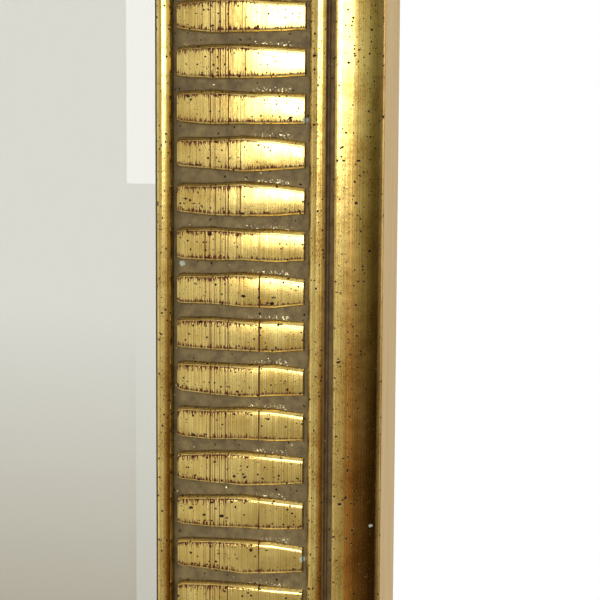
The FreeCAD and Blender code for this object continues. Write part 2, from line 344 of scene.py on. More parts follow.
def rubbed_lines(tree, place, hair):
    """Hair lines that gather in clusters and line up from bar to bar, and the long rub lines."""
    cluster = streaks(tree, place.laid, length=600 * mm, width=5 * mm)
    gathered = add(tree, "Math", {0: cluster, 1: 0.6, 2: hair}, operation="MULTIPLY_ADD")
    start, end = hair_thins
    thinning = {"Value": place.out, "From Min": start, "From Max": end, "To Max": 0.14}
    thinned = add(tree, "MapRange", thinning)
    drawn = add(tree, "Math", {0: gathered, 1: thinned}, operation="SUBTRACT")
    edge = {"Value": drawn, "From Min": 0.89, "From Max": 1.06, "To Max": 0.9}
    lines = [add(tree, "MapRange", edge, interpolation_type="SMOOTHSTEP")]

    # Each rub line has its own strength along the length
    strength = streaks(tree, place.laid, length=45 * mm, width=1.2 * mm)
    pressed = add(tree, "MapRange", {"Value": strength, "From Min": 0.3, "From Max": 0.48})
    for out, half_width, start in rub_lines:
        coming = {"Value": place.along, "From Min": start, "From Max": start + rub_fade}
        begun = add(tree, "MapRange", coming)
        held = add(tree, "Math", {0: begun, 1: pressed}, operation="MULTIPLY")
        on_line = add(tree, "Math", {0: place.out, 1: out, 2: half_width}, operation="COMPARE")
        lines.append(add(tree, "Math", {0: on_line, 1: held}, operation="MULTIPLY"))
    return add(tree, "Math", {0: any_of(tree, *lines), 1: place.is_bar}, operation="MULTIPLY")


def rim_wear(tree, place, hair):
    """Worn band inside the rim of a bar, with teeth that follow the hair lines."""
    tooth = streaks(tree, place.laid, length=3.5 * mm, width=0.3 * mm, detail=2.0)
    drawn = add(tree, "Math", {0: hair, 1: 0.6, 2: tooth}, operation="MULTIPLY_ADD")
    share = add(tree, "MapRange", {"Value": drawn, "From Min": 0.7, "From Max": 1.05})
    sizes = []
    for start, end, first, last in (near_teeth, far_teeth, near_rim):
        change = {"Value": place.out, "From Min": start, "From Max": end, "To Min": first, "To Max": last}
        sizes.append(add(tree, "MapRange", change))
    depth = add(tree, "Mix", {0: place.is_far, 2: sizes[0], 3: sizes[1]})
    rim_width = add(tree, "Mix", {0: place.is_far, 2: sizes[2], 3: far_rim})
    within = add(tree, "Math", {0: place.from_rim, 1: rim_width}, operation="SUBTRACT")
    teeth = add(tree, "Math", {0: depth, 1: share}, operation="MULTIPLY")
    inside = add(tree, "Math", {0: teeth, 1: within}, operation="SUBTRACT")
    tooth_edge = {"Value": inside, "From Min": -0.2 * mm, "From Max": 0.1 * mm}
    rubbed = add(tree, "MapRange", tooth_edge, interpolation_type="SMOOTHSTEP")
    rim_edge = {"Value": within, "From Min": -0.15 * mm, "From Max": 0.1 * mm}
    past_rim = add(tree, "MapRange", rim_edge, interpolation_type="SMOOTHSTEP")
    worn = add(tree, "Math", {0: rubbed, 1: past_rim}, operation="MULTIPLY")
    return add(tree, "Math", {0: worn, 1: place.is_bar}, operation="MULTIPLY")


def flank_wash_and_shade(tree, place, grit):
    """Masks of a bar's flanks and of the wash on them, which glints of leaf break on the near flank. The
    wash's dark colour is partly painted shade along each bar's edges.
    """
    nearest = add(tree, "Math", {0: place.from_rim, 1: place.from_end}, operation="MINIMUM")
    edge = {"Value": nearest, "From Min": -0.4 * mm, "From Max": -0.1 * mm, "To Min": 1.0, "To Max": 0.0}
    past_rim = add(tree, "MapRange", edge)
    flank = add(tree, "Math", {0: past_rim, 1: place.is_bar}, operation="MULTIPLY")
    start, end = glints_come
    coming = {"Value": place.out, "From Min": start, "From Max": end, "To Max": 0.16}
    lifted = add(tree, "Math", {0: grit, 1: add(tree, "MapRange", coming)}, operation="ADD")
    glint_edge = {"Value": lifted, "From Min": 0.58, "From Max": 0.66, "To Min": 1.0, "To Max": 0.0}
    unbroken = add(tree, "MapRange", glint_edge)
    covered = add(tree, "Mix", {0: place.is_far, 2: unbroken, 3: 1.0})
    return flank, add(tree, "Math", {0: flank, 1: covered}, operation="MULTIPLY")


def gold_leaf():
    """Burnished gold leaf over red bole, rubbed through in hair lines and flecked with dark size.

    The leaf is metal with a clear shine, the bole a dull red-brown that shows in lines and on worn edges.
    """
    material, tree, shader = blank("gold_leaf_over_bole")
    place = leaf_places(tree)
    laid = place.laid
    fine = streaks(tree, laid, length=70 * mm, width=0.2 * mm, detail=2.0)
    hair = streaks(tree, laid, length=60 * mm, width=0.36 * mm, detail=1.5)
    grit = add(tree, "TexNoise", {"Vector": laid, "Scale": 1 / (0.7 * mm), "Detail": 2.0}, "Fac")
    patch = add(tree, "TexNoise", {"Vector": laid, "Scale": 1 / (9 * mm), "Detail": 2.0}, "Fac")
    uneven = add(tree, "TexNoise", {"Vector": laid, "Scale": 1 / (5 * mm), "Detail": 2.0}, "Fac")

    start, end = roll_edge_wears
    edge = {"Value": place.out, "From Min": start, "From Max": end, "To Max": 0.6}
    roll_edge = add(tree, "MapRange", edge)
    bole = any_of(tree, rim_wear(tree, place, hair), roll_edge, rubbed_lines(tree, place, hair))

    # Speckled rubbing on the beads and the roll, where the leaf is thin but still shines
    speckle = streaks(tree, laid, length=0.8 * mm, width=0.28 * mm, detail=2.0)
    spread = add(tree, "Math", {0: patch, 1: 0.4, 2: speckle}, operation="MULTIPLY_ADD")
    speckle_edge = {"Value": spread, "From Min": 0.72, "From Max": 0.93, "To Max": 0.6}
    rubbing = add(tree, "MapRange", speckle_edge, interpolation_type="SMOOTHSTEP")
    thin_leaf = add(tree, "Mix", {0: place.is_bar, 2: rubbing, 3: 0.0})

    # The flanks' wash is partly real wash and partly painted shade, dark where shadow falls along each bar
    flank, wash = flank_wash_and_shade(tree, place, grit)
    drawn_out = add(tree, "Mapping", {"Vector": laid, "Scale": (1, 0.7, 1)})
    flecks = any_of(
        tree,
        fleck_mask(tree, laid, spacing=1.18 * mm, smallest=0.03 * mm, largest=0.4 * mm),
        fleck_mask(tree, laid, spacing=0.72 * mm, smallest=0.02 * mm, largest=0.18 * mm),
        fleck_mask(tree, drawn_out, spacing=2.1 * mm, smallest=0.02 * mm, largest=0.5 * mm),
    )
    chipped = chip_mask(tree, laid)

    tone = add(tree, "Math", {0: patch, 1: 0.6, 2: fine}, operation="MULTIPLY_ADD")
    leaf = add(tree, "ValToRGB", {"Fac": tone}, stops={0.6: "#DCC57A", 1.0: "#B5974F"})
    coats = (
        (thin_leaf, "#8A5A26"),
        (bole, "#4C2010"),
        # Dark wash on the flanks, partly painted shade
        (wash, "#5E4A26"),
        (flecks, "#1E1008"),
        (chipped, bare_gesso),
    )
    dull = any_of(tree, bole, chipped, wash, flecks)

    # The leaf lies over slightly uneven gesso, and over grit on the flanks
    relief = add(tree, "Math", {0: fine, 1: 0.06, 2: uneven}, operation="MULTIPLY_ADD")
    gritty = add(tree, "Math", {0: grit, 1: flank, 2: relief}, operation="MULTIPLY_ADD")
    surface = {
        "Base Color": coated(tree, leaf, coats),
        "Metallic": add(tree, "MapRange", {"Value": dull, "To Min": 1.0, "To Max": 0.1}),
        "Roughness": add(tree, "MapRange", {"Value": dull, "To Min": 0.16, "To Max": 0.5}),
        "Specular IOR Level": 0.05,
        "Normal": add(tree, "Bump", {"Strength": 0.5, "Distance": 0.1 * mm, "Height": gritty}),
    }
    feed(tree, shader, surface)
    return material


def leaf_crumbs(tree, out, grit):
    """Mask of crumbs of leaf on the wash beside each bar, towards its outer end.

    The rung attribute counts the bars along the strip, so its fraction is the way from one to the next.
    """
    rung = add(tree, "Attribute", output="Fac", attribute_name="rung")
    way = add(tree, "Math", {0: rung}, operation="FRACT")
    held = add(tree, "MapRange", {"Value": way, "From Min": 0.5, "From Max": 0.56, "To Max": 0.15})
    for start, end in (crumbs_come, crumbs_go):
        share = add(tree, "MapRange", {"Value": out, "From Min": start, "From Max": end})
        held = add(tree, "Math", {0: held, 1: share}, operation="MULTIPLY")
    lifted = add(tree, "Math", {0: held, 1: grit}, operation="ADD")
    return add(tree, "MapRange", {"Value": lifted, "From Min": 0.72, "From Max": 0.78})


def toning_wash(name, first, second):
    """Casein wash in a hollow: dull, with a few flecks of leaf left showing; painted shade darkens it
    beside the sight bead, and it darkens in a line at the foot of the fillet.
    """
    material, tree, shader = blank(name)
    laid = add(tree, "Attribute", output="Vector", attribute_name="laid")
    out = add(tree, "SeparateXYZ", {"Vector": laid}, "Y")
    cloud = add(tree, "TexNoise", {"Vector": laid, "Scale": 1 / (3 * mm), "Detail": 4.0}, "Fac")
    grit = add(tree, "TexNoise", {"Vector": laid, "Scale": 1 / (0.6 * mm), "Detail": 3.0}, "Fac")
    plain = add(tree, "ValToRGB", {"Fac": cloud}, stops={0.3: first, 0.7: second})

    # The wash darkens beside the sight bead as painted shade, and in a line at the foot of the fillet
    start, end = inner_shade_goes
    inner_shade = {"Value": out, "From Min": start, "From Max": end, "To Min": 0.5}
    from_line = add(tree, "Math", {0: out, 1: dark_line}, operation="SUBTRACT")
    aside = add(tree, "Math", {0: from_line}, operation="ABSOLUTE")
    line = {"Value": aside, "From Min": 0.1 * mm, "From Max": 0.4 * mm, "To Min": 0.3}
    darkenings = {0: add(tree, "MapRange", inner_shade), 1: add(tree, "MapRange", line)}
    undarkened = add(tree, "Math", darkenings, operation="MULTIPLY")
    shaded = add(tree, "Mix", {0: 1.0, 6: plain, 7: undarkened}, 2, data_type="RGBA", blend_type="MULTIPLY")

    few_flecks = fleck_mask(tree, laid, spacing=2.4 * mm, smallest=0.02 * mm, largest=0.3 * mm)
    leaf = any_of(tree, leaf_crumbs(tree, out, grit), few_flecks)
    dark = fleck_mask(tree, laid, spacing=1.9 * mm, smallest=0.02 * mm, largest=0.45 * mm)
    coats = ((leaf, "#BDB28C"), (dark, "#2A2015"), (chip_mask(tree, laid), bare_gesso))
    surface = {
        "Base Color": coated(tree, shaded, coats),
        "Metallic": leaf,
        "Roughness": add(tree, "MapRange", {"Value": leaf, "To Min": 0.6, "To Max": 0.25}),
        "Specular IOR Level": 0.05,
        "Normal": add(tree, "Bump", {"Strength": 0.7, "Distance": 0.3 * mm, "Height": grit}),
    }
    feed(tree, shader, surface)
    return material


def ochre_clay():
    """Ochre clay paint on the outer sides: matt and warm, brushed on along the moulding."""
    material, tree, shader = blank("ochre_clay_paint")
    laid = add(tree, "Attribute", output="Vector", attribute_name="laid")
    stroke = streaks(tree, laid, length=60 * mm, width=1.5 * mm, detail=3.0)
    colour = add(tree, "ValToRGB", {"Fac": stroke}, stops={0.3: "#DAB77E", 0.7: "#EACB92"})
    bump = add(tree, "Bump", {"Strength": 0.3, "Distance": 0.1 * mm, "Height": stroke})
    feed(tree, shader, {"Base Color": colour, "Roughness": 0.6, "Normal": bump})
    return material


def planed_pine():
    """Planed pine on the back and in the rebate: pale, with darker grain along the length."""
    material, tree, shader = blank("planed_pine")
    laid = add(tree, "Attribute", output="Vector", attribute_name="laid")
    grain = streaks(tree, laid, length=220 * mm, width=4 * mm, detail=4.0, distortion=0.6)
    colour = add(tree, "ValToRGB", {"Fac": grain}, stops={0.35: "#D2AE7C", 0.68: "#AC7F4C"})
    bump = add(tree, "Bump", {"Strength": 0.3, "Distance": 0.15 * mm, "Height": grain})
    feed(tree, shader, {"Base Color": colour, "Roughness": 0.6, "Normal": bump})
    return material


def float_glass():
    """Polished float glass: clear, faintly green, sharp in reflection."""
    material, tree, shader = blank("polished_float_glass")
    clear = {"Base Color": linear("#FDFEFD"), "Roughness": 0.0, "IOR": 1.52, "Transmission Weight": 1.0}
    feed(tree, shader, clear)
    return material


def silver_coat():
    """Chemical silver on the glass: a near-perfect mirror."""
    material, tree, shader = blank("chemical_silver_coat")
    feed(tree, shader, {"Base Color": linear("#FAF9F7"), "Metallic": 1.0, "Roughness": 0.0})
    return material


def mottled(name, first, second, grain, roughness, metallic=0.0, relief=0.1 * mm):
    """Plain material of two shades in a fine grain, such as card, rubber or plated steel."""
    material, tree, shader = blank(name)
    place = add(tree, "TexCoord", output="Object")
    cloud = add(tree, "TexNoise", {"Vector": place, "Scale": 1 / grain, "Detail": 4.0}, "Fac")
    surface = {
        "Base Color": add(tree, "ValToRGB", {"Fac": cloud}, stops={0.35: first, 0.65: second}),
        "Metallic": metallic,
        "Roughness": roughness,
        "Normal": add(tree, "Bump", {"Strength": 0.3, "Distance": relief, "Height": cloud}),
    }
    feed(tree, shader, surface)
    return material


# Drawing, cutting and placing


def half_length(side):
    """Half the sight length of a side."""
    return sight_half_width if side in ("top", "bottom") else sight_half_height


def sight_offset(side):
    """Distance from the middle of the mirror to a side's sight edge."""
    return sight_half_height if side in ("top", "bottom") else sight_half_width


def spot(side, along, out, level):
    """Point on a side drawn as the top one: along it, out from its sight edge, above its back."""
    return Vector((along, back_y - level, sight_offset(side) + out))


def verts_of(geometry):
    """Vertices among the geometry that an operator gives back."""
    return [v for v in geometry if isinstance(v, bmesh.types.BMVert)]


def edges_of(geometry):
    """Edges among the geometry that an operator gives back."""
    return [e for e in geometry if isinstance(e, bmesh.types.BMEdge)]


def draw_to(bm, side, tip, out, level):
    """Draws a section on to a point, and returns its new tip."""
    last = bmesh.ops.extrude_vert_indiv(bm, verts=[tip])["verts"][0]
    last.co = spot(side, tip.co.x, out, level)
    return last


def swing_about(bm, side, tip, out, level, turn, steps):
    """Draws a section round a centre, and returns its new tip."""
    centre = spot(side, tip.co.x, out, level)
    made = bmesh.ops.spin(bm, geom=[tip], cent=centre, axis=(1, 0, 0), angle=turn, steps=steps)
    return verts_of(made["geom_last"])[0]


def soften(bm, edges, width, segments=2):
    """Rounds edges to a width."""
    bmesh.ops.bevel(
        bm, geom=edges, offset=width, affect="EDGES", segments=segments, profile=0.5, material=-1
    )


def soften_rims(bm):
    """Rounds the sharp rims of a steel piece."""
    soften(bm, [e for e in bm.edges if e.calc_face_angle() > steel_rim_angle], steel_softness)


def smooth_rounds(bm):
    """Shades round walls smooth and keeps flat ends flat."""
    for face in bm.faces:
        face.smooth = len(face.verts) == 4
    for edge in bm.edges:
        edge.smooth = all(face.smooth for face in edge.link_faces)


def block(bm, size, middle):
    """Adds a block of a size about a middle, and returns its vertices."""
    verts = bmesh.ops.create_cube(bm, size=1)["verts"]
    bmesh.ops.scale(bm, vec=size, verts=verts)
    bmesh.ops.translate(bm, vec=middle, verts=verts)
    return verts


def turned_round(segments, base_radius, tip_radius, depth):
    """New mesh of a round piece drawn up Z, with its middle at the origin."""
    bm = bmesh.new()
    bmesh.ops.create_cone(
        bm, cap_ends=True, segments=segments, radius1=base_radius, radius2=tip_radius, depth=depth
    )
    return bm


def set_on_back(bm, place):
    """Turns a mesh drawn up Z to stand out from the back at a place."""
    turn = Matrix.Rotation(math.radians(-90), 3, "X")
    bmesh.ops.rotate(bm, cent=(0, 0, 0), matrix=turn, verts=bm.verts)
    bmesh.ops.translate(bm, vec=place, verts=bm.verts)


def join(bm, other):
    """Adds one mesh to another."""
    mesh = bpy.data.meshes.new("joined")
    other.to_mesh(mesh)
    other.free()
    bm.from_mesh(mesh)
    bpy.data.meshes.remove(mesh)


def cut_ends(bm, side):
    """Cuts a side's length at both mitres and closes the cuts."""
    for hand in (-1, 1):
        cut = bmesh.ops.bisect_plane(
            bm,
            geom=bm.verts[:] + bm.edges[:] + bm.faces[:],
            plane_co=spot(side, hand * (half_length(side) - mitre_hairline), 0, 0),
            plane_no=(hand, 0, -1),
            clear_outer=True,
        )
        closed = bmesh.ops.holes_fill(bm, edges=edges_of(cut["geom_cut"]), sides=0)
        for face in closed["faces"]:
            face.smooth = False
            for edge in face.edges:
                edge.smooth = False


def lay(bm, side):
    """Notes where each point lies on its moulding, then turns the mesh to its side.

    The laid attribute is the place along the sides, the distance out and the level above the back.
    """
    laid = bm.verts.layers.float_vector.new("laid")
    start = side_spacing * list(side_turns).index(side)
    for vert in bm.verts:
        vert[laid] = (vert.co.x + start, vert.co.z - sight_offset(side), back_y - vert.co.y)
    turn = Matrix.Rotation(math.radians(side_turns[side]), 3, "Y")
    bmesh.ops.rotate(bm, cent=(0, 0, 0), matrix=turn, verts=bm.verts)


def make_object(name, bm, materials):
    """Makes an object of a finished mesh."""
    mesh = bpy.data.meshes.new(name)
    bm.to_mesh(mesh)
    bm.free()
    for material in materials:
        mesh.materials.append(material)
    made = bpy.data.objects.new(name, mesh)
    bpy.context.scene.collection.objects.link(made)
    return made


def piece(name, bm, materials, node, body="mirror"):
    """Makes a piece that stands for a node, takes its finish from a slot and rides on a body."""
    made = make_object(name, bm, materials)
    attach(made, body)
    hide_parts(node)


# Pieces


def member_finish(out, level, normal):
    """Name of the finish on a face of the moulding, by its place and the way it faces."""
    faces_back = normal.y > 0.5
    is_cut_end = abs(normal.x) > 0.5
    in_rebate = out <= rebate_end and level < sight_edge_level
    if faces_back or is_cut_end or in_rebate:
        return "pine"
    if out > clay_start:
        return "clay"
    # Painted shade on the sight bead's flank beside the glass
    if out < sight_shade_width and level < sight_shade_level:
        return "umber"
    # Painted shade over the toning wash on the crest bead's outer flank, the fillet and the groove
    if level < umber_level and umber_start < out < groove_end:
        return "umber"
    if level < wash_level and channel_start < out < groove_end:
        return "wash" if out < crest_middle else "umber"
    return "gilt"


def moulding(side, finishes):
    """One mitred length of the moulding: traced section, drawn out along its length and cut."""
    bm = bmesh.new()
    length = 2 * (half_length(side) + moulding_width + mm)
    quarter = math.pi / 2
    crest_turn = quarter + math.asin(crest_chord / crest_bead_radius)
    first = bm.verts.new(spot(side, -length / 2, rebate_width, 0))
    tip = draw_to(bm, side, first, moulding_width, 0)
    tip = draw_to(bm, side, tip, moulding_width, side_height)
    tip = draw_to(bm, side, tip, moulding_width - ledge_width, side_height)
    tip = swing_about(bm, side, tip, shoulder_end, side_height, quarter, bead_steps)
    tip = swing_about(bm, side, tip, shoulder_end, front_level - shoulder_radius, quarter, shoulder_steps)
    tip = draw_to(bm, side, tip, groove_end, channel_floor)
    tip = draw_to(bm, side, tip, fillet_end, channel_floor)
    tip = draw_to(bm, side, tip, fillet_end, front_level - fillet_drop - fillet_fall)
    tip = draw_to(bm, side, tip, crest_middle + crest_chord, front_level - fillet_drop)
    tip = swing_about(bm, side, tip, crest_middle, front_level - crest_bead_radius, crest_turn, bead_steps)
    tip = draw_to(bm, side, tip, channel_end, strip_seat - base_drop)
    tip = draw_to(bm, side, tip, channel_start, strip_seat - base_drop)
    tip = draw_to(bm, side, tip, channel_start, sight_bead_level)
    tip = swing_about(bm, side, tip, sight_bead_radius, sight_bead_level, math.pi, bead_steps)
    tip = draw_to(bm, side, tip, 0, sight_edge_level)
    tip = draw_to(bm, side, tip, rebate_width, sight_edge_level)
    bm.edges.new((tip, first))
    bmesh.ops.contextual_create(bm, geom=bm.edges[:])
    drawn = bmesh.ops.extrude_face_region(bm, geom=bm.faces[:])
    bmesh.ops.translate(bm, vec=(length, 0, 0), verts=verts_of(drawn["geom"]))
    bmesh.ops.recalc_face_normals(bm, faces=bm.faces[:])
    long_edges = [e for e in bm.edges if len(e.link_faces) == 2 and e.calc_length() > arris_length]
    soften(bm, [e for e in long_edges if e.calc_face_angle() > arris_angle], edge_softness)
    for face in bm.faces:
        face.smooth = face.calc_area() / length < flat_width
    cut_ends(bm, side)
    for face in bm.faces:
        middle = face.calc_center_median()
        finish = member_finish(middle.z - sight_offset(side), back_y - middle.y, face.normal)
        face.material_index = list(finishes).index(finish)
    lay(bm, side)
    piece(side + "_moulding", bm, finishes.values(), member_names[side])


def bar_half_width(pitch, reach):
    """Half the width of a bar's face at a reach from -1, its inner end, to 1, its outer end."""
    end = (pitch - (bar_gap_inner if reach < 0 else bar_gap_outer)) / 2 - bar_rim_inset
    middle = (pitch - bar_gap_middle) / 2 - bar_rim_inset
    rounding = bar_end_rounding if reach == -1 else 0
    return end + (middle - end) * (1 - reach**2) - rounding


def ladder_bar(bm, side, pitch):
    """One bar in the middle of a side: barrel face that falls outwards, rounded rims, leaning flanks.

    The worn attribute is the place across the bar, half its width there and the distance from its end.
    """
    inner = channel_start + bar_inner_margin + bar_end_lean
    outer = channel_end - bar_outer_margin - bar_end_lean
    middle = (inner + outer) / 2
    half = (outer - inner) / 2
    worn = bm.verts.layers.float_vector.new("worn")
    columns = len(bar_reaches) - 1
    rows = 2 * len(bar_rim_slopes) - 1
    grid = bmesh.ops.create_grid(bm, x_segments=columns, y_segments=rows, size=1)
    for vert in grid["verts"]:
        reach = bar_reaches[round((vert.co.x + 1) / 2 * columns)]
        row = round((vert.co.y + 1) / 2 * rows)
        gentler = bar_far_rim_share if vert.co.y > 0 else 1
        slope = math.radians(bar_rim_slopes[min(row, rows - row)]) * gentler
        steepest = math.sin(math.radians(bar_rim_slopes[0]) * gentler)
        width = bar_half_width(pitch, reach)
        across = math.copysign(width - bar_rim_radius * (steepest - math.sin(slope)), vert.co.y)
        fall = bar_fall * ((reach + 1) / 2) ** 2 + bar_rim_radius * (1 - math.cos(slope))
        vert.co = spot(side, across, middle + reach * half, bar_level - fall)
        vert[worn] = (across, width, half * (1 - abs(reach)))
    foot = bmesh.ops.extrude_edge_only(bm, edges=[e for e in bm.edges if e.is_boundary])
    for vert in verts_of(foot["geom"]):
        out = vert.co.z - sight_offset(side) - middle
        at_end = abs(out) > half - 0.1 * mm
        across, width, end = vert[worn]
        lean = bar_far_lean if across > 0 else -bar_near_lean
        vert[worn] = (across + lean, width, -bar_end_lean if at_end else end)
        vert.co.x += lean
        vert.co.y = back_y - (channel_floor - base_fall * ((out / half + 1) / 2) ** 2 - bar_sink)
        if at_end:
            vert.co.z += math.copysign(bar_end_lean, out)
    bmesh.ops.contextual_create(bm, geom=[e for e in bm.edges if e.is_boundary])
    bmesh.ops.recalc_face_normals(bm, faces=bm.faces[:])

    # The ends and the foot stay flat, and all between is shaded round
    for face in bm.faces:
        face.smooth = abs(face.normal.z) < 0.8 and face.normal.y < 0.8
    for edge in bm.edges:
        edge.smooth = all(face.smooth for face in edge.link_faces)


def ladder_bars(side, pitch, leaf):
    """Bars of one side, each tilted and wavering a little in its own way."""
    bm = bmesh.new()
    ladder_bar(bm, side, pitch)
    pattern = bm.verts[:] + bm.edges[:] + bm.faces[:]
    beyond = math.floor(channel_end / pitch)
    count = round(2 * half_length(side) / pitch) + 2 * beyond + 1
    first_angle, second_angle = wander_angles
    chance = random.Random(side)
    for n in range(count):
        verts = verts_of(bmesh.ops.duplicate(bm, geom=pattern)["geom"])
        tilt = chance.uniform(-bar_tilt, bar_tilt)
        phases = [chance.uniform(0, 2 * math.pi) for _ in range(4)]
        for vert in verts:
            along_bar = (vert.co.z - sight_offset(side)) / (channel_end - channel_start)
            first, second = phases[2:] if vert.co.x > 0 else phases[:2]
            wave = math.sin(along_bar * first_angle + first)
            wave += second_wander_share * math.sin(along_bar * second_angle + second)
            vert.co.x += tilt * (along_bar - 0.5) + bar_wander * wave
        place = -half_length(side) + (n - beyond) * pitch
        bmesh.ops.translate(bm, vec=(place, 0, 0), verts=verts)
    bmesh.ops.delete(bm, geom=verts_of(pattern), context="VERTS")
    cut_ends(bm, side)
    lay(bm, side)
    piece(side + "_ladder_bars", bm, [leaf], side + "_ornament_strip")


def ladder_base(side, pitch, wash):
    """Washed base of one side's bars, which falls outwards as they do."""
    bm = bmesh.new()
    length = 2 * (half_length(side) + moulding_width)
    width = strip_end - strip_start
    seat = strip_seat - base_drop
    middle = (spot(side, 0, strip_start, seat) + spot(side, 0, strip_end, channel_floor)) / 2
    block(bm, (length, channel_floor - seat, width), middle)
    rungs = [e for e in bm.edges if abs(e.verts[0].co.z - e.verts[1].co.z) > mm]
    bmesh.ops.subdivide_edges(bm, edges=rungs, cuts=base_steps, use_grid_fill=True)
    for vert in bm.verts:
        if vert.co.y < middle.y:
            share = (vert.co.z - sight_offset(side) - strip_start) / width
            vert.co.y += base_fall * share**2
    cut_ends(bm, side)
    rung = bm.verts.layers.float.new("rung")
    for vert in bm.verts:
        vert[rung] = (vert.co.x + half_length(side)) / pitch
    lay(bm, side)
    piece(side + "_ladder_base", bm, [wash], side + "_ornament_strip")


def ornament(side, leaf, wash):
    """Ladder strip of one side, with a pitch that fits a whole number of bars to its length."""
    pitch = 2 * half_length(side) / round(2 * half_length(side) / bar_pitch)
    ladder_bars(side, pitch, leaf)
    ladder_base(side, pitch, wash)


def silver_sheet(silver):
    """Silver coat just behind the glass."""
    low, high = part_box("silvering")
    bm = bmesh.new()
    size = (high.x - low.x, high.y - low.y - silver_clearance, high.z - low.z)
    block(bm, size, (0, (low.y + high.y + silver_clearance) / 2, 0))
    piece("silver_coat", bm, [silver], "silvering")


def hanger_pin(side):
    """Middle of the pin that a hanger's ring turns on."""
    low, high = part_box(side + "_hanger_ring")
    middle = (low + high) / 2
    edge = high.x if hands[side] > 0 else low.x
    return Vector((edge - hands[side] * ring_wire_radius, middle.y, middle.z))


def hanger_ring(side, steel):
    """Ring of round wire: a straight pin, bent round into a bow that points inwards."""
    hand = hands[side]
    pin = hanger_pin(side)
    inner = pin - Vector((hand * ring_bend_radius, 0, 0))
    rise = Vector((0, 0, strap_width / 2 + ring_side_clearance))
    bm = bmesh.new()
    bmesh.ops.create_circle(bm, segments=16, radius=ring_wire_radius)
    bmesh.ops.translate(bm, vec=pin - rise, verts=bm.verts)
    made = bmesh.ops.extrude_edge_only(bm, edges=bm.edges[:])["geom"]
    bmesh.ops.translate(bm, vec=2 * rise, verts=verts_of(made))
    for centre, degrees, steps in ((inner + rise, 90, 6), (inner, 180, 24), (inner - rise, 90, 6)):
        turn = math.radians(-hand * degrees)
        made = bmesh.ops.spin(
            bm, geom=edges_of(made), cent=centre, axis=(0, 1, 0), angle=turn, steps=steps
        )["geom_last"]
    bmesh.ops.remove_doubles(bm, verts=bm.verts, dist=0.01 * mm)
    bmesh.ops.recalc_face_normals(bm, faces=bm.faces[:])
    for face in bm.faces:
        face.smooth = True
    piece(side + "_ring_wire", bm, [steel], side + "_hanger_ring", side + "_ring")


def strap(bm, side):
    """One hanger strap: two leaves with a round far end, folded round the ring's pin in a curl."""
    hand = hands[side]
    pin = hanger_pin(side)
    half = strap_width / 2
    middle = pin.x + hand * (strap_length - half)
    for leaf in (0, 1):
        plate = bmesh.new()
        start = plate.verts.new((pin.x, back_y + leaf * strap_leaf, pin.z - half))
        tip = bmesh.ops.extrude_vert_indiv(plate, verts=[start])["verts"][0]
        tip.co.x = middle
        centre = (middle, tip.co.y, pin.z)
        made = bmesh.ops.spin(
            plate, geom=[tip], cent=centre, axis=(0, 1, 0), angle=-hand * math.pi, steps=24
        )
        tip = verts_of(made["geom_last"])[0]
        last = bmesh.ops.extrude_vert_indiv(plate, verts=[tip])["verts"][0]
        last.co.x = pin.x
        plate.edges.new((last, start))
        bmesh.ops.contextual_create(plate, geom=plate.edges[:])
        made = bmesh.ops.extrude_face_region(plate, geom=plate.faces[:])["geom"]
        bmesh.ops.translate(plate, vec=(0, strap_leaf, 0), verts=verts_of(made))
        bmesh.ops.recalc_face_normals(plate, faces=plate.faces[:])
        soften_rims(plate)
        join(bm, plate)
    curl = turned_round(32, curl_radius, curl_radius, depth=strap_width)
    soften_rims(curl)
    bmesh.ops.translate(curl, vec=(pin.x, back_y + curl_radius, pin.z), verts=curl.verts)
    smooth_rounds(curl)
    join(bm, curl)


def screw(bm, place):
    """Slotted screw with its head's underside at a place, driven towards the front."""
    for hand in (-1, 1):
        half = turned_round(32, screw_head_radius, screw_head_radius, depth=screw_head_height)
        soften_rims(half)
        cut = bmesh.ops.bisect_plane(
            half,
            geom=half.verts[:] + half.edges[:] + half.faces[:],
            plane_co=(hand * screw_slot_width / 2, 0, 0),
            plane_no=(-hand, 0, 0),
            clear_outer=True,
        )
        bmesh.ops.holes_fill(half, edges=edges_of(cut["geom_cut"]), sides=0)
        bmesh.ops.translate(half, vec=(0, 0, screw_head_height / 2), verts=half.verts)
        set_on_back(half, place)
        join(bm, half)
    floor_radius = screw_head_radius - steel_softness
    floor_height = screw_head_height - screw_slot_depth
    for base_radius, top_radius, depth, start in (
        (floor_radius, floor_radius, floor_height, 0),
        (screw_tip_radius, screw_radius, screw_length, -screw_length),
    ):
        shank = turned_round(24, base_radius, top_radius, depth)
        bmesh.ops.translate(shank, vec=(0, 0, start + depth / 2), verts=shank.verts)
        set_on_back(shank, place)
        join(bm, shank)


def hangers(steel):
    """Straps and screws of both hangers, and their rings."""
    straps = bmesh.new()
    screws = bmesh.new()
    for side, hand in hands.items():
        strap(straps, side)
        for away in screw_places:
            screw(screws, hanger_pin(side) + Vector((hand * away, strap_leaf * 2 - curl_radius, 0)))
        hanger_ring(side, steel)
    piece("hanger_straps_plated", straps, [steel], "hanger_straps")
    piece("hanger_screws_plated", screws, [steel], "hanger_screws")


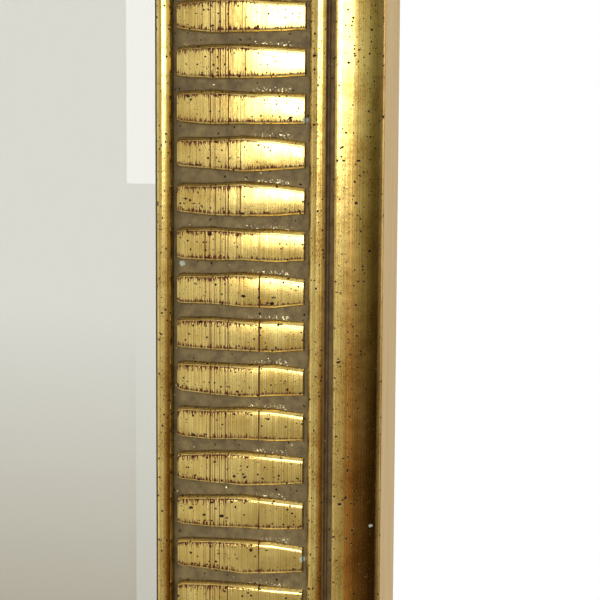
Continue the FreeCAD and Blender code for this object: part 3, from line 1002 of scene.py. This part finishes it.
def corner_wedges(corner, steel):
    """Two bright V wedges across a mitre, their ends just proud of the back."""
    up = 1 if corner.startswith("top") else -1
    hand = hands[corner.split("_")[1]]
    corner_turn = Matrix.Rotation(math.atan2(hand, up), 3, "Y")
    bm = bmesh.new()
    for share in wedge_place_shares:
        out = rebate_width + (moulding_width - rebate_width) * share
        place = Vector((hand * (sight_half_width + out), back_y, up * (sight_half_height + out)))
        for degrees in (-wedge_half_angle, wedge_half_angle):
            proud = wedge_proud if degrees > 0 else wedge_proud / 2
            depth = wedge_depth + proud
            inwards = math.copysign(wedge_thickness / 2, degrees)
            size = (wedge_thickness, depth, wedge_arm)
            arm = block(bm, size, (inwards, proud - depth / 2, -wedge_arm / 2))
            lean = Matrix.Rotation(math.radians(degrees), 3, "Y")
            bmesh.ops.rotate(bm, cent=(0, 0, 0), matrix=corner_turn @ lean, verts=arm)
            bmesh.ops.translate(bm, vec=place, verts=arm)
    piece(corner + "_wedges", bm, [steel], corner + "_corner_wedges")


def wall_bumpers(rubber):
    """Tapered rubber discs that hold the lower edge off the wall."""
    low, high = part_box("wall_bumpers")
    depth = high.y - back_y
    bm = bmesh.new()
    for hand in hands.values():
        disc = turned_round(48, bumper_base_radius, bumper_face_radius, depth)
        rim = [e for e in disc.edges if e.verts[0].co.z > 0 and e.verts[1].co.z > 0]
        soften(disc, rim, bumper_rim, 3)
        smooth_rounds(disc)
        bmesh.ops.translate(disc, vec=(0, 0, depth / 2), verts=disc.verts)
        set_on_back(disc, Vector((hand * (high.x - bumper_base_radius), back_y, (low.z + high.z) / 2)))
        join(bm, disc)
    piece("rubber_wall_bumpers", bm, [rubber], "wall_bumpers")


def dress_nodes(steel):
    """Gives the solids that show as they are their finishes."""
    block_rubber = mottled("black_rubber_block", "#1B1B1A", "#2A2928", grain=0.8 * mm, roughness=0.6)
    card = mottled("grey_packing_card", "#77726A", "#8D877D", grain=1.5 * mm, roughness=0.8)
    board = mottled("oil_tempered_hardboard", "#5E4029", "#7A5638", grain=1.2 * mm, roughness=0.5)
    finishes = {"mirror_glass": float_glass(), "packing_card": card, "backing_board": board}
    for side in side_turns:
        finishes[side + "_setting_blocks"] = block_rubber
        finishes[side + "_glazing_points"] = steel
    for name, finish in finishes.items():
        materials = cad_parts[name].data.materials
        materials.clear()
        materials.append(finish)


# Studio and camera
plain_white = {0: "#FFFFFF", 1: "#FFFFFF"}


def stage_card(name, middle, across, up, strength, shades=plain_white, lifts=plain_white):
    """Plain card of the studio, unseen by the camera, that metal and glass reflect.

    Its shades run along its width and its lifts up its height, each at its own share of the way.
    """
    bm = bmesh.new()
    share = bm.verts.layers.float_vector.new("share")
    bmesh.ops.create_grid(bm, x_segments=1, y_segments=1, size=0.5)
    for vert in bm.verts:
        vert[share] = vert.co + Vector((0.5, 0.5, 0))
    normal = Vector(across).cross(Vector(up))
    turn = Matrix((Vector(across), Vector(up), normal)).transposed()
    bmesh.ops.transform(bm, matrix=Matrix.Translation(middle) @ turn.to_4x4(), verts=bm.verts)
    material, tree, _ = blank(name)
    place = add(tree, "Attribute", output="Vector", attribute_name="share")
    way = add(tree, "SeparateXYZ", {"Vector": place}).node.outputs
    shaded = add(tree, "ValToRGB", {"Fac": way["X"]}, stops=shades)
    lifted = add(tree, "ValToRGB", {"Fac": way["Y"]}, stops=lifts)
    both = add(tree, "Mix", {0: 1.0, 6: shaded, 7: lifted}, 2, data_type="RGBA", blend_type="MULTIPLY")
    glow = add(tree, "Emission", {"Color": both, "Strength": strength})
    feed(tree, tree.nodes["Material Output"], {"Surface": glow})
    card = make_object(name, bm, [material])
    card.visible_camera = False
    card.visible_shadow = False
    card.visible_diffuse = False


def front_cards():
    """Pale wall well in front, a white board before it, and a lower stretch that darkens downwards."""
    stage_card(
        "pale_front_wall",
        middle=(-2.4, -5, 0),
        across=(10, 0, 0),
        up=(0, 0, 8),
        strength=1,
        shades={0: "#E2E1DB", 0.62: "#E2E1DB", 1: "#AE9A79"},
        lifts={0: "#E7E5E0", 0.3: "#E7E5E0", 0.41: "#FFFFFF", 1: "#FFFFFF"},
    )
    stage_card(
        "white_board",
        middle=(-1.05, -4.95, 0),
        across=(0.6, 0, 0),
        up=(0, 0, 8),
        strength=1,
        shades={0: "#F6F4EC", 1: "#F6F4EC"},
    )
    stage_card(
        "low_front_wall",
        middle=(-1.7, -4.9, -1.5),
        across=(0.5, 0, 0),
        up=(0, 0, 2),
        strength=1,
        shades={0: "#E2E1DB", 1: "#E2E1DB"},
        lifts={0: "#CAC2B4", 0.4: "#CAC2B4", 0.92: "#FFFFFF", 1: "#FFFFFF"},
    )


def side_card():
    """Brown card on the right, pale towards the front, which the roll and the bars' outer ends reflect."""
    stage_card(
        "brown_side_card",
        middle=(1.4, 0.75, 0),
        across=(0, 6.5, 0),
        up=(0, 0, 3.4),
        strength=4,
        shades={0: "#F0F0EB", 0.18: "#CBCBC5", 0.25: "#9A9C95", 0.43: "#52503F", 1: "#3A3622"},
        lifts={0: "#63452C", 0.42: "#63452C", 0.5: "#C1B7A8", 0.53: "#FFFFFF", 1: "#FFFFFF"},
    )


def soft_box():
    """Soft box in front: a lamp that lights the object, and the cards that its shine shows."""
    stage_card(
        "soft_box_face",
        middle=(0.54, -1.6, 0.5775),
        across=(0.88, 0, 0),
        up=(0, 0, 1.245),
        strength=12,
        shades={0: "#CBCBCB", 0.13: "#FFFFFF", 0.57: "#C8C8C8", 1: "#C8C8C8"},
        lifts={0: "#404040", 0.085: "#FFFFFF", 1: "#FFFFFF"},
    )
    stage_card(
        "soft_box_rim", middle=(0.0645, -1.6, 0.569), across=(0.071, 0, 0), up=(0, 0, 1.262), strength=5
    )
    stage_card(
        "soft_box_wing", middle=(1.38, -1.9, 0.63), across=(0, 1.1, 0), up=(0, 0, 1.14), strength=6.5
    )
    lamp = bpy.data.lights.new("soft_box", "AREA")
    lamp.shape = "RECTANGLE"
    lamp.size = 1.07
    lamp.size_y = 0.66
    lamp.energy = 11.5
    made = bpy.data.objects.new("soft_box", lamp)
    made.location = (0.445, -1.6, 0.267)
    made.rotation_euler = (math.radians(90), 0, 0)
    made.visible_camera = False
    made.visible_glossy = False
    made.visible_transmission = False
    bpy.context.scene.collection.objects.link(made)


def surroundings():
    """White surroundings for the camera and for reflections, and a little less light on the object."""
    world = bpy.data.worlds.new("studio")
    bpy.context.scene.world = world
    world.use_nodes = True
    world.cycles.sampling_method = "NONE"
    tree = world.node_tree
    path = add(tree, "LightPath").node.outputs
    seen = any_of(tree, path["Is Camera Ray"], path["Is Glossy Ray"], path["Is Transmission Ray"])
    level = add(tree, "MapRange", {"Value": seen, "To Min": 0.68, "To Max": 1.0})
    feed(tree, tree.nodes["Background"], {"Color": linear("#FFFFFF"), "Strength": level})


def floor():
    """Pale floor under the mirror, which fades out into the white surroundings."""
    bm = bmesh.new()
    bmesh.ops.create_circle(bm, cap_ends=True, radius=1.0, segments=96)
    bmesh.ops.translate(bm, vec=(0, 0, cad_low.z), verts=bm.verts)
    material, tree, shader = blank("pale_floor_paint")
    place = add(tree, "TexCoord", output="Object")
    flat = add(tree, "VectorMath", {0: place, 1: (1, 1, 0)}, operation="MULTIPLY")
    far = add(tree, "VectorMath", {0: flat}, "Value", operation="LENGTH")
    fade = {"Value": far, "From Min": 0.5, "From Max": 0.98, "To Min": 1.0, "To Max": 0.0}
    alpha = add(tree, "MapRange", fade, interpolation_type="SMOOTHSTEP")
    feed(tree, shader, {"Base Color": linear("#E8E6E1"), "Roughness": 0.8, "Alpha": alpha})
    make_object("floor", bm, [material])


def camera():
    """Camera close to the right stile, a little to its right and above."""
    target = Vector((0.2888, -0.0356, 0.005))
    azimuth = math.radians(14.7)
    elevation = math.radians(7.0)
    roll = math.radians(0.35)
    distance = 0.6
    data = bpy.data.cameras.new("camera")
    data.sensor_width = 36
    data.lens = 118.2
    data.clip_start = 0.01
    made = bpy.data.objects.new("camera", data)
    level = math.cos(elevation)
    away = Vector((math.sin(azimuth) * level, -math.cos(azimuth) * level, math.sin(elevation)))
    turn = (-away).to_track_quat("-Z", "Y").to_matrix() @ Matrix.Rotation(roll, 3, "Z")
    made.matrix_world = Matrix.Translation(target + away * distance) @ turn.to_4x4()
    bpy.context.scene.collection.objects.link(made)
    bpy.context.scene.camera = made


bpy.context.scene.view_settings.view_transform = "Standard"
member_finishes = {
    "gilt": gold_leaf(),
    "wash": toning_wash("grey_brown_toning_wash", "#60523A", "#81704B"),
    "clay": ochre_clay(),
    "pine": planed_pine(),
    # Umber wash, darkened as painted shade for the groove and the sight bead's flank beside the glass
    "umber": toning_wash("umber_wash_and_painted_shade", "#5E4A30", "#7C6544"),
}
for side in side_turns:
    moulding(side, member_finishes)
    ornament(side, member_finishes["gilt"], member_finishes["wash"])
silver_sheet(silver_coat())
steel = mottled(
    "zinc_plated_steel",
    "#B9BCBE",
    "#D6D8D8",
    grain=2 * mm,
    roughness=0.32,
    metallic=1.0,
    relief=0.02 * mm,
)
hangers(steel)
for corner in ("top_left", "top_right", "bottom_left", "bottom_right"):
    corner_wedges(corner, steel)
wall_bumpers(mottled("brown_rubber_bumper", "#2B2521", "#3A332E", grain=0.8 * mm, roughness=0.55))
dress_nodes(steel)
surroundings()
front_cards()
side_card()
soft_box()
floor()
camera()
